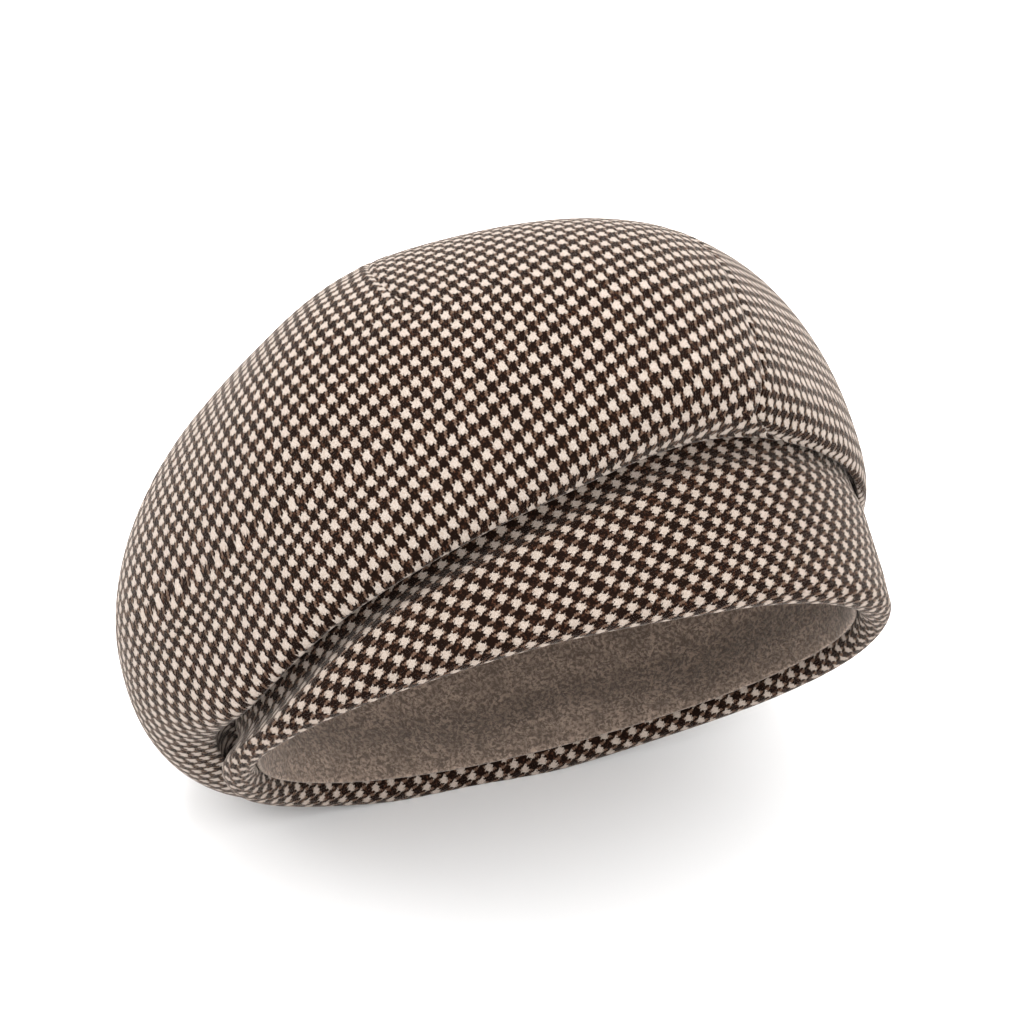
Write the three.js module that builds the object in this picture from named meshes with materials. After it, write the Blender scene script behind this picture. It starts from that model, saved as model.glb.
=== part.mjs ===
// A slouch beanie in wool cloth, lying on its side on a table.
//
// The hat is drawn in its own frame first: the opening's oval lies in the plane z = 0, +x points to the
// front of the hat, +y to the side that it lies on, and the crown rises along +z. Every point is then
// turned into the lying pose, where cloth that would pass through the table is laid flat on it.
// Lengths are in millimetres and angles in degrees.

import * as THREE from "three";
import { mergeVertices } from "three/addons/utils/BufferGeometryUtils.js";

// The opening: an oval whose outside measures 224 by 164 mm, for a head of about 55 cm round.
const OPENING_HALF_LENGTH = 112;
const OPENING_HALF_WIDTH = 82;
const OPENING_SQUARENESS = 2.05; // 2 is an ellipse, more is squarer

// The cloth
const CROWN_CLOTH = 2;
const TUCK_CLOTH = 1.2;
const BAND_CLOTH = 2;
const LINING_CLOTH = 1.5;
const CLEARANCE = 0.3; // between any two pieces that touch

// The band: its lower edge is a soft roll, made by the cloth that turns up inside.
const BAND_HEIGHT = 60;
const ROLL_RADIUS = 5.5;
const WAIST_HEIGHT = 16; // where the outer face has blended from the roll into the wall
const ROLL_BLEND_HEIGHT = 32; // where the inner face has
const HEM_HEIGHT = 6; // the lining starts this far above the roll's lowest line

// The crown
const APEX = new THREE.Vector3(2, 20.5, 165.5);
const LIP_ROUNDNESS = 0.9; // exponent of the curve from the bulge down to the fold
const TURN_RISE = 2.5; // height of the turn from the fold into the tuck
const INNER_TURN_RISE = 1;
const SEAM_AZIMUTHS = [130, 310];

// The lining's dome hangs clear of the crown.
const LINING_DROP = 5;
const LINING_FULLNESS = 2;

// The lying pose
const TILT = 51; // the crown leans this far from upright, towards +Y
const LEAN_TURN = 18.5; // the direction of the lean, turned from +Y towards -X
const SPIN = -11.8; // the hat about its own axis
const OPENING_CENTRE_HEIGHT = 61; // of the oval's centre above the table
const SETTLING = 1.5; // how far the cloth at the table gives under the hat's weight
const SETTLING_HEIGHT = 25; // above which it no longer does

// How finely the cloth is faceted
const CROWN_COLUMNS = 30; // in each half
const BAND_COLUMNS = 60;
const LINING_COLUMNS = 48;
const UPPER_ROWS = 12;
const LOWER_ROWS = 5;
const TURN_ROWS = 2;
const TUCK_ROWS = 2;
const DOME_ROWS = 9;
const ROLL_ROWS = 4;
const WALL_HEIGHTS = [BAND_HEIGHT, 38, 27, WAIST_HEIGHT, 12, 8.5];
const MERGE_DISTANCE = 1e-4;

// Colours: the middle tone of dark brown and cream checks, and a taupe felt.
const HOUNDSTOOTH_MEAN = 0x82756c;
const FELT = 0x6f6257;

// One row for each 30 degrees round the hat: 0 at the front, 90 on the side that lies on the table,
// 180 at the back and 270 on the upper side. The crown's cloth droops over the band down to the fold
// and swells out to the bulge above it. Each "out" is measured from the opening's oval.
const SECTIONS = [
  { foldHeight: 43, foldOut: 3, bulgeHeight: 64.5, bulgeOut: 6, fullness: 2.3, seatOut: 0.5 },
  { foldHeight: 36.5, foldOut: 4, bulgeHeight: 65, bulgeOut: 20, fullness: 2.25, seatOut: 0 },
  { foldHeight: 23, foldOut: 4, bulgeHeight: 62.5, bulgeOut: 43.5, fullness: 2.25, seatOut: 0 },
  { foldHeight: 20, foldOut: 4, bulgeHeight: 61, bulgeOut: 40.5, fullness: 2.25, seatOut: 0 },
  { foldHeight: 14, foldOut: 3.5, bulgeHeight: 59, bulgeOut: 34, fullness: 2.2, seatOut: -0.5 },
  { foldHeight: 7, foldOut: 2, bulgeHeight: 56.5, bulgeOut: 35, fullness: 2, seatOut: -1.5 },
  { foldHeight: 12.5, foldOut: 0, bulgeHeight: 57.5, bulgeOut: 23.5, fullness: 1.8, seatOut: -2.5 },
  { foldHeight: 14, foldOut: 2, bulgeHeight: 60.5, bulgeOut: 8, fullness: 2, seatOut: -1 },
  { foldHeight: 26.5, foldOut: 4.5, bulgeHeight: 65.5, bulgeOut: 7, fullness: 2.2, seatOut: 0 },
  { foldHeight: 42.5, foldOut: 4, bulgeHeight: 69.5, bulgeOut: 10.5, fullness: 2.2, seatOut: 0.5 },
  { foldHeight: 51.5, foldOut: 3.5, bulgeHeight: 70.5, bulgeOut: 19, fullness: 2.15, seatOut: 0.5 },
  { foldHeight: 45.5, foldOut: 3, bulgeHeight: 66.5, bulgeOut: 6, fullness: 2.35, seatOut: 0.5 },
];

const QUARTER = Math.PI / 2;

const radians = THREE.MathUtils.degToRad;
const LYING = new THREE.Matrix4()
  .makeTranslation(0, 0, OPENING_CENTRE_HEIGHT)
  .multiply(new THREE.Matrix4().makeRotationZ(radians(LEAN_TURN)))
  .multiply(new THREE.Matrix4().makeRotationX(-radians(TILT)))
  .multiply(new THREE.Matrix4().makeRotationZ(radians(SPIN)));

// The section at any azimuth, by a smooth curve through the table's rows.
function sectionAt(azimuth) {
  const count = SECTIONS.length;
  const place = ((azimuth % 360) + 360) % 360 / (360 / count);
  const first = Math.floor(place);
  const part = place - first;
  const rows = [-1, 0, 1, 2].map((step) => SECTIONS[(first + step + count) % count]);
  const section = {};
  for (const column of Object.keys(SECTIONS[0])) {
    const [before, from, to, after] = rows.map((row) => row[column]);
    const cubic = 3 * (from - to) + after - before;
    const square = 2 * before - 5 * from + 4 * to - after;
    section[column] = from + (part / 2) * (to - before + part * (square + part * cubic));
  }
  return section;
}

// A point at a height, a distance outside the opening's oval.
function atOval(azimuth, out, height) {
  const angle = radians(azimuth);
  const n = OPENING_SQUARENESS;
  const cos = Math.cos(angle);
  const sin = Math.sin(angle);
  const radius = (Math.abs(cos) ** n + Math.abs(sin) ** n) ** (-1 / n);
  const x = OPENING_HALF_LENGTH * radius * cos;
  const y = OPENING_HALF_WIDTH * radius * sin;
  const normal = new THREE.Vector2(
    (Math.sign(cos) * Math.abs(x / OPENING_HALF_LENGTH) ** (n - 1)) / OPENING_HALF_LENGTH,
    (Math.sign(sin) * Math.abs(y / OPENING_HALF_WIDTH) ** (n - 1)) / OPENING_HALF_WIDTH,
  ).setLength(out);
  return new THREE.Vector3(x + normal.x, y + normal.y, height);
}

const steps = (count) => Array.from({ length: count }, (_, index) => (index + 1) / count);

// How far the band's outer face stands outside the oval, above its roll.
function bandOut(section, height) {
  const rise = THREE.MathUtils.smoothstep(height, ROLL_RADIUS, WAIST_HEIGHT);
  return section.seatOut * rise;
}

// A path from the top of a dome down to its base, as one quarter of a superellipse.
function domePath(top, base, fullness, rows) {
  return [0, ...steps(rows)].map((part) => {
    const angle = QUARTER * (1 - part);
    const across = part === 0 ? 0 : Math.cos(angle) ** (2 / fullness);
    const up = Math.sin(angle) ** (2 / fullness);
    return new THREE.Vector3(
      THREE.MathUtils.lerp(top.x, base.x, across),
      THREE.MathUtils.lerp(top.y, base.y, across),
      THREE.MathUtils.lerp(base.z, top.z, up),
    );
  });
}

// The path of one face of the crown's cloth, from the apex down to the fold and up into the tuck.
// "inset" is 0 for the outer face, or the cloth's thickness for the inner one.
function crownPath(azimuth, inset) {
  const section = sectionAt(azimuth);
  const top = APEX.clone().setZ(APEX.z - inset);
  const bulge = atOval(azimuth, section.bulgeOut - inset, section.bulgeHeight);
  const fold = atOval(azimuth, section.foldOut, section.foldHeight + inset);
  const upper = domePath(top, bulge, section.fullness, UPPER_ROWS);
  const lower = steps(LOWER_ROWS).map((part) => {
    const across = part === 1 ? 0 : Math.cos(QUARTER * part) ** LIP_ROUNDNESS;
    const down = Math.sin(QUARTER * part) ** LIP_ROUNDNESS;
    return new THREE.Vector3(
      THREE.MathUtils.lerp(fold.x, bulge.x, across),
      THREE.MathUtils.lerp(fold.y, bulge.y, across),
      THREE.MathUtils.lerp(bulge.z, fold.z, down),
    );
  });
  const rise = inset ? INNER_TURN_RISE : TURN_RISE;
  const tuckOut = (height) =>
    bandOut(section, height) + CLEARANCE + (inset ? TUCK_CLOTH : 0);
  const turn = steps(TURN_ROWS).map((part) => {
    const height = fold.z + rise * (1 - Math.cos(QUARTER * part));
    const inwards = Math.sin(QUARTER * part);
    return atOval(azimuth, THREE.MathUtils.lerp(section.foldOut, tuckOut(height), inwards), height);
  });
  const tuck = steps(TUCK_ROWS).map((part) => {
    const height = THREE.MathUtils.lerp(fold.z + rise, BAND_HEIGHT, part);
    return atOval(azimuth, tuckOut(height), height);
  });
  return [...upper, ...lower, ...turn, ...tuck];
}

// How far the band's inner face stands inside the oval: the wall widens into the roll.
function bandDepth(section, height) {
  const blend = 1 - THREE.MathUtils.smoothstep(height, ROLL_RADIUS, ROLL_BLEND_HEIGHT);
  const wall = BAND_CLOTH - bandOut(section, height);
  return THREE.MathUtils.lerp(wall, 2 * ROLL_RADIUS, blend);
}

// One face of the band, from its top edge down and round half the roll to its lowest line.
// "side" is 1 for the outer face and -1 for the inner one.
function bandPath(azimuth, side) {
  const section = sectionAt(azimuth);
  const wall = WALL_HEIGHTS.map((height) => {
    const out = side > 0 ? bandOut(section, height) : -bandDepth(section, height);
    return atOval(azimuth, out, height);
  });
  const roll = [0, ...steps(ROLL_ROWS)].map((part) => {
    const across = side * ROLL_RADIUS * Math.cos(QUARTER * part);
    const height = ROLL_RADIUS * (1 - Math.sin(QUARTER * part));
    return atOval(azimuth, across - ROLL_RADIUS, height);
  });
  return [...wall, ...roll];
}

// One face of the lining, from the top of its dome down to its edge at the turned-up hem.
function liningPath(azimuth, inset) {
  const section = sectionAt(azimuth);
  const at = (height) =>
    atOval(azimuth, -bandDepth(section, height) - CLEARANCE - inset, height);
  const top = APEX.clone().setZ(APEX.z - LINING_DROP - inset);
  const base = at(BAND_HEIGHT);
  const dome = domePath(top, base, LINING_FULLNESS, DOME_ROWS);
  const wall = [...WALL_HEIGHTS.slice(1), HEM_HEIGHT].map(at);
  return [...dome, ...wall];
}

// Turns a path into the lying pose. The cloth near the table settles a little under the hat's weight,
// and it can't sink below "lowest", so it is laid flat there.
function lay(path, lowest) {
  return path.map((point) => {
    const laid = point.clone().applyMatrix4(LYING);
    const nearness = Math.max(0, 1 - laid.z / SETTLING_HEIGHT);
    laid.z = Math.max(laid.z - SETTLING * nearness ** 2, lowest);
    return laid;
  });
}

// A closed shell between matching outer and inner paths, one pair in each column. A shell that
// doesn't run all the way round is also closed along its first and last columns.
function shell(columns, runsRound) {
  const corners = [];
  const quad = (a, b, c, d) => corners.push(a, b, c, a, c, d);
  const wall = (path, next) => {
    for (let row = 0; row + 1 < path.length; row++) {
      quad(path[row], path[row + 1], next[row + 1], next[row]);
    }
  };
  const gaps = runsRound ? columns.length : columns.length - 1;
  for (let index = 0; index < gaps; index++) {
    const here = columns[index];
    const next = columns[(index + 1) % columns.length];
    wall(here.outer, next.outer);
    wall(next.inner, here.inner);
    quad(here.outer.at(-1), here.inner.at(-1), next.inner.at(-1), next.outer.at(-1));
    quad(here.inner[0], here.outer[0], next.outer[0], next.inner[0]);
  }
  if (!runsRound) {
    wall(columns[0].inner, columns[0].outer);
    wall(columns.at(-1).outer, columns.at(-1).inner);
  }
  return closed(corners);
}

// Joins the corners that meet and drops the faces that this leaves with no area.
function closed(corners) {
  const loose = new THREE.BufferGeometry().setFromPoints(corners);
  const geometry = mergeVertices(loose, MERGE_DISTANCE);
  const index = geometry.index.array;
  const kept = [];
  for (let first = 0; first < index.length; first += 3) {
    const [a, b, c] = index.slice(first, first + 3);
    if (a !== b && b !== c && c !== a) {
      kept.push(a, b, c);
    }
  }
  geometry.setIndex(kept);
  geometry.computeVertexNormals();
  return geometry;
}

// One half of the crown, between two seams. Its edges stand half the clearance clear of each seam.
function crownHalf(firstSeam, lastSeam) {
  const aside = [firstSeam, lastSeam].map((azimuth, index) => {
    const along = atOval(azimuth, 0, APEX.z).sub(APEX).setLength(CLEARANCE / 2);
    const turn = index ? -1 : 1;
    return new THREE.Vector3(-along.y * turn, along.x * turn, 0);
  });
  const apexShift = aside[0].clone().add(aside[1]).multiplyScalar(0.5);
  const columns = [];
  for (let index = 0; index <= CROWN_COLUMNS; index++) {
    const azimuth = THREE.MathUtils.lerp(firstSeam, lastSeam, index / CROWN_COLUMNS);
    const edge = index === 0 ? aside[0] : index === CROWN_COLUMNS ? aside[1] : null;
    const moved = (path) => {
      path[0].add(apexShift);
      if (edge) {
        path.slice(1).forEach((point) => point.add(edge));
      }
      return path;
    };
    columns.push({
      outer: lay(moved(crownPath(azimuth, 0)), 0),
      inner: lay(moved(crownPath(azimuth, CROWN_CLOTH)), CROWN_CLOTH),
    });
  }
  return shell(columns, false);
}

function ring(count, outerPath, innerPath) {
  const columns = Array.from({ length: count }, (_, index) => {
    const azimuth = (360 * index) / count;
    return { outer: lay(outerPath(azimuth), 0), inner: lay(innerPath(azimuth), 0) };
  });
  return shell(columns, true);
}

function piece(name, geometry, colour, roughness) {
  const material = new THREE.MeshStandardMaterial({ color: colour, roughness, metalness: 0 });
  const mesh = new THREE.Mesh(geometry, material);
  mesh.name = name;
  return mesh;
}

const hat = new THREE.Group();
hat.add(
  piece("crown_back", crownHalf(SEAM_AZIMUTHS[0], SEAM_AZIMUTHS[1]), HOUNDSTOOTH_MEAN, 0.9),
  piece("crown_front", crownHalf(SEAM_AZIMUTHS[1], SEAM_AZIMUTHS[0] + 360), HOUNDSTOOTH_MEAN, 0.9),
  piece(
    "band",
    ring(BAND_COLUMNS, (azimuth) => bandPath(azimuth, 1), (azimuth) => bandPath(azimuth, -1)),
    HOUNDSTOOTH_MEAN,
    0.9,
  ),
  piece(
    "lining",
    ring(LINING_COLUMNS, (azimuth) => liningPath(azimuth, 0), (azimuth) => liningPath(azimuth, LINING_CLOTH)),
    FELT,
    0.95,
  ),
);

// The part's origin is on the table, under the middle of the hat.
const extent = new THREE.Box3().setFromObject(hat);
const middle = extent.getCenter(new THREE.Vector3());
hat.position.set(-middle.x, -middle.y, 0);

const beanie = new THREE.Group();
beanie.add(hat);

export default beanie;
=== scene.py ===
"""A slouch beanie in houndstooth wool, lying on its side on a pale table.

The hat is drawn in its own frame, in millimetres: the opening's oval lies in the plane z = 0, +x
points to the front of the hat, +y to the side that it lies on, and the crown rises along +z.
Azimuths turn from +x towards +y. HatForm.lay then turns every point into the lying pose.

Each half of the crown is three gores, joined by darts that run from the top to just above the
bulge. The half is unrolled flat, cuts and all, and the cloth's warp and weft are ruled on that
flat pattern, so that the check runs over the hat as it does on sewn cloth.
"""

import logging
import math
from dataclasses import dataclass, field
from enum import Enum, IntEnum

import bpy
import numpy as np
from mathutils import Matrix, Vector

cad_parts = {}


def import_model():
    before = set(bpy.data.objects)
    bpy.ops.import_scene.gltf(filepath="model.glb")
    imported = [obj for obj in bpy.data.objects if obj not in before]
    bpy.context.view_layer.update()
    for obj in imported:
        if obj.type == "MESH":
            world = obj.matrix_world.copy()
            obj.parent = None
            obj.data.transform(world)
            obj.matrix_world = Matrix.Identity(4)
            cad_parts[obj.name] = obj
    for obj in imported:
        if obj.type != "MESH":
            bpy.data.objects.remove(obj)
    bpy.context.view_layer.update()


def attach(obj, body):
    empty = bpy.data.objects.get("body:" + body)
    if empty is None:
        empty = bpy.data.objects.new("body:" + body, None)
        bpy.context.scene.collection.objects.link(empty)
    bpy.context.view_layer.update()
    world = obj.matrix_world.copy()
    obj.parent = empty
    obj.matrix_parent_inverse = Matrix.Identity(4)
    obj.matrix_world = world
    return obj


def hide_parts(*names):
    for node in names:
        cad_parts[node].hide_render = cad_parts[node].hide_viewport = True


Array = np.ndarray
Colour = tuple[float, float, float]

log = logging.getLogger("beanie")

MILLIMETRE = 0.001
QUARTER = math.pi / 2
WEAVE_MAP = "weave"
BODY = "root"
TINY = 1e-9


class Slot(Enum):
    """The record's material slots."""

    CROWN = "crown_cloth"
    BAND = "band_cloth"
    LINING = "lining_felt"


class Row(IntEnum):
    """Named rows down the crown. The rows between them are fractions."""

    APEX = 0
    BULGE = 1
    FOLD = 2
    TURN = 3
    TUCK_END = 4


def smooth_step(value: Array, start: float, end: float) -> Array:
    """A smooth rise from 0 to 1.

    Args:
        value: Where to read it.
        start: Where it leaves 0.
        end: Where it reaches 1.

    Returns:
        The height of the rise at each value.
    """
    part = np.clip((value - start) / (end - start), 0.0, 1.0)
    return part * part * (3.0 - 2.0 * part)


def blend(first: Array, second: Array, part: Array) -> Array:
    """A straight blend, from the first at 0 to the second at 1."""
    return first + (second - first) * part


def curve_between(before: Array, start: Array, end: Array, after: Array, part: Array) -> Array:
    """A smooth curve from start to end, as one stretch of a curve through all four.

    Args:
        before: The value one step before the start.
        start: The value at part 0.
        end: The value at part 1.
        after: The value one step after the end.
        part: How far along the stretch, from 0 to 1.

    Returns:
        The value there.
    """
    cubic = 3 * (start - end) + after - before
    square = 2 * before - 5 * start + 4 * end - after
    return start + part / 2 * (end - before + part * (square + part * cubic))


# --- the hat's form ------------------------------------------------------------------------------


@dataclass(frozen=True)
class Section:
    """An upright cut through the hat, or many of them, with an array in each field.

    Heights are above the rim's plane, and each "out" is measured from the opening's oval.
    """

    fold_height: float | Array
    fold_out: float | Array
    bulge_height: float | Array
    bulge_out: float | Array
    fullness: float | Array
    seat_out: float | Array
    tuck_depth: float | Array
    lip_roundness: float | Array


# One for each 30 degrees of azimuth: 0 at the front, 90 on the side that lies on the table.
SECTIONS = (
    Section(44, 1, 64.5, 7, 2.3, 0.5, 1, 0.8),
    Section(36.5, 4, 65, 20, 2.25, 0, 0, 0.9),
    Section(23, 4, 62.5, 43.5, 2.25, 0, 0, 0.9),
    Section(20, 4, 61, 40.5, 2.25, 0, 0, 0.9),
    Section(14, 3.5, 59, 34, 2.2, -0.5, 0, 0.9),
    Section(7, 1, 56.5, 35, 2, -1.5, 3, 0.9),
    Section(16, -0.5, 57.5, 23.5, 1.8, -2.5, 5, 0.85),
    Section(13.5, -0.5, 60.5, 8, 2, -1, 7, 0.75),
    Section(27.5, 0.5, 65.5, 9, 2.2, 0, 7.5, 0.85),
    Section(40.5, 0.5, 69.5, 11, 2.2, 0.5, 6, 0.95),
    Section(52.5, 1, 70.5, 19, 2.15, 0.5, 4, 1.05),
    Section(50, 0.5, 66.5, 7, 2.35, 0.5, 2.5, 0.95),
)


@dataclass(frozen=True)
class HatForm:
    """The hat's shape: that of the solids, with a rounder lip and a deeper fold."""

    half_length: float = 112.0
    half_width: float = 82.0
    squareness: float = 2.05
    band_height: float = 60.0
    roll_radius: float = 5.5
    waist_height: float = 16.0
    roll_blend_height: float = 32.0
    cloth: float = 2.0
    clearance: float = 0.3
    apex: tuple[float, float, float] = (2.0, 20.5, 165.5)
    tuck_reach: float = 11.0
    turn_rise: float = 7.0
    turn_steepness: float = 1.2
    tilt: float = 51.0
    lean_turn: float = 18.5
    spin: float = -11.8
    opening_centre: tuple[float, float, float] = (20.97, -57.26, 61.0)
    settling: float = 1.5
    settling_height: float = 25.0

    def section(self, azimuth: Array) -> Section:
        """The section at any azimuth, by a smooth curve through the table.

        Args:
            azimuth: Azimuths in degrees.

        Returns:
            The section, with arrays in the azimuths' shape.
        """
        table = np.array([list(vars(section).values()) for section in SECTIONS], float)
        count = len(table)
        place = np.mod(azimuth, 360.0) / (360.0 / count)
        first = np.floor(place).astype(int)
        part = (place - first)[..., None]
        near = (table[(first + step) % count] for step in (-1, 0, 1, 2))
        return Section(*np.moveaxis(curve_between(*near, part), -1, 0))

    def at_oval(self, azimuth: Array, out: Array, height: Array) -> Array:
        """Points at a height, a distance outside the opening's oval.

        Args:
            azimuth: Azimuths in degrees.
            out: Distance outside the oval.
            height: Height above the rim's plane.

        Returns:
            Points in the hat's frame, along a last axis of three.
        """
        angle = np.radians(azimuth)
        cos, sin, power = np.cos(angle), np.sin(angle), self.squareness
        radius = (np.abs(cos) ** power + np.abs(sin) ** power) ** (-1 / power)
        across, along = radius * cos, radius * sin
        normal_x = np.sign(cos) * np.abs(across) ** (power - 1) / self.half_length
        normal_y = np.sign(sin) * np.abs(along) ** (power - 1) / self.half_width
        length = np.hypot(normal_x, normal_y)
        x = self.half_length * across + out * normal_x / length
        y = self.half_width * along + out * normal_y / length
        return np.stack(np.broadcast_arrays(x, y, height), -1)

    def band_out(self, section: Section, height: Array) -> Array:
        """How far the band's outer face stands outside the oval, sunk where the fold covers it.

        Args:
            section: The sections to read.
            height: Height above the rim's plane.

        Returns:
            Distances in millimetres.
        """
        seat = section.seat_out * smooth_step(height, self.roll_radius, self.waist_height)
        below = (height - section.fold_height + self.tuck_reach) / self.tuck_reach
        return seat - section.tuck_depth * smooth_step(below, 0.0, 1.0)

    def band_depth(self, section: Section, height: Array) -> Array:
        """How far the band's inner face stands inside the oval, with the swelling of the roll.

        Args:
            section: The sections to read.
            height: Height above the rim's plane.

        Returns:
            Distances in millimetres.
        """
        wall = self.cloth - self.band_out(section, height)
        rolled = 1 - smooth_step(height, self.roll_radius, self.roll_blend_height)
        return blend(wall, 2 * self.roll_radius, rolled)

    def crown(self, azimuth: Array, row: Array) -> Array:
        """Points on the crown's outer face.

        Args:
            azimuth: Azimuths in degrees.
            row: Where on the way down, as a Row or between two of them.

        Returns:
            Points in the hat's frame.
        """
        section = self.section(azimuth)
        bulge = self.at_oval(azimuth, section.bulge_out, section.bulge_height)
        fold = self.at_oval(azimuth, section.fold_out, section.fold_height)

        angle = QUARTER * np.clip(Row.BULGE - row, 0, 1)
        power = 2 / section.fullness
        across = np.where(row <= Row.APEX, 0.0, np.maximum(np.cos(angle), 0) ** power)
        up = np.sin(angle) ** power
        dome = blend(np.array(self.apex), bulge, np.stack([across, across, 1 - up], -1))

        angle = QUARTER * np.clip(row - Row.BULGE, 0, 1)
        across = np.maximum(np.cos(angle), 0) ** section.lip_roundness
        down = np.sin(angle) ** section.lip_roundness
        lip = blend(bulge, fold, np.stack([1 - across, 1 - across, down], -1))

        angle = QUARTER * np.clip(row - Row.FOLD, 0, 1)
        height = section.fold_height + self.turn_rise * np.sin(angle) ** self.turn_steepness
        height = blend(height, self.band_height, np.clip(row - Row.TURN, 0, 1))
        seat = self.band_out(section, height) + self.clearance
        turn = self.at_oval(azimuth, blend(section.fold_out, seat, 1 - np.cos(angle)), height)

        row = np.asarray(row)[..., None]
        return np.where(row <= Row.BULGE, dome, np.where(row <= Row.FOLD, lip, turn))

    def lay(self, points: Array, lowest: float = 0.0) -> Array:
        """Turns points into the lying pose, in the part's frame.

        Args:
            points: Points in the hat's frame.
            lowest: Height in millimetres that the cloth can't sink below.

        Returns:
            Points in metres.
        """

        def about_z(degrees: float) -> Array:
            """A turn about +z."""
            cos, sin = math.cos(math.radians(degrees)), math.sin(math.radians(degrees))
            return np.array([[cos, -sin, 0], [sin, cos, 0], [0, 0, 1]])

        cos, sin = math.cos(math.radians(-self.tilt)), math.sin(math.radians(-self.tilt))
        about_x = np.array([[1, 0, 0], [0, cos, -sin], [0, sin, cos]])
        turn = about_z(self.lean_turn) @ about_x @ about_z(self.spin)
        laid = points @ turn.T + np.array(self.opening_centre)
        nearness = np.maximum(0, 1 - laid[..., 2] / self.settling_height)
        laid[..., 2] = np.maximum(laid[..., 2] - self.settling * nearness**2, lowest)
        return laid * MILLIMETRE


@dataclass(frozen=True)
class Line:
    """A line down the crown, such as a seam or a dart, through (row, azimuth) stops."""

    stops: tuple[tuple[float, float], ...]

    @classmethod
    def straight(cls, azimuth: float) -> "Line":
        """A line that keeps to one azimuth."""
        return cls(((0.0, azimuth),))

    def azimuth(self, row: Array) -> Array:
        """The line's azimuth at each row, which stays the same past its last stop."""
        rows, azimuths = zip(*self.stops)
        return np.interp(row, rows, azimuths)


@dataclass(frozen=True)
class Unevenness:
    """The slow, irregular waviness of soft cloth, as a sum of long waves."""

    height: float
    length: float
    waves: tuple[tuple[float, float, float, float], ...] = (
        (0.9, 0.3, -0.4, 0.3),
        (-0.5, 0.8, 0.5, 1.9),
        (0.2, -0.7, 0.9, 4.1),
        (1.3, 0.9, 0.2, 2.6),
        (-1.1, 0.4, 1.2, 5.2),
        (0.6, -1.6, 0.7, 0.8),
    )

    def rise(self, points: Array) -> Array:
        """How far the cloth stands out.

        Args:
            points: Points in the hat's frame.

        Returns:
            Distances in millimetres.
        """
        total = np.zeros(points.shape[:-1])
        for *direction, phase in self.waves:
            total += np.sin(points @ np.array(direction) * (2 * math.pi / self.length) + phase)
        return total * self.height / math.sqrt(len(self.waves))


# --- flat patterns -------------------------------------------------------------------------------


def grid_faces(index: Array) -> Array:
    """The triangles of a grid of vertices, with the diagonals turned about.

    Args:
        index: Vertex numbers, (columns, rows).

    Returns:
        Vertex numbers, (triangles, 3).
    """
    a, b = index[:-1, :-1], index[1:, :-1]
    c, d = index[1:, 1:], index[:-1, 1:]
    column, row = np.indices(a.shape)
    even = ((column + row) % 2 == 0)[..., None]
    first = np.where(even, np.stack([a, b, d], -1), np.stack([a, b, c], -1))
    second = np.where(even, np.stack([b, c, d], -1), np.stack([a, c, d], -1))
    return np.concatenate([first.reshape(-1, 3), second.reshape(-1, 3)])


# Each corner of a triangle, followed by the two ends of the side across from it.
SIDES = ((0, 1, 2), (1, 2, 0), (2, 0, 1))


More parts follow.
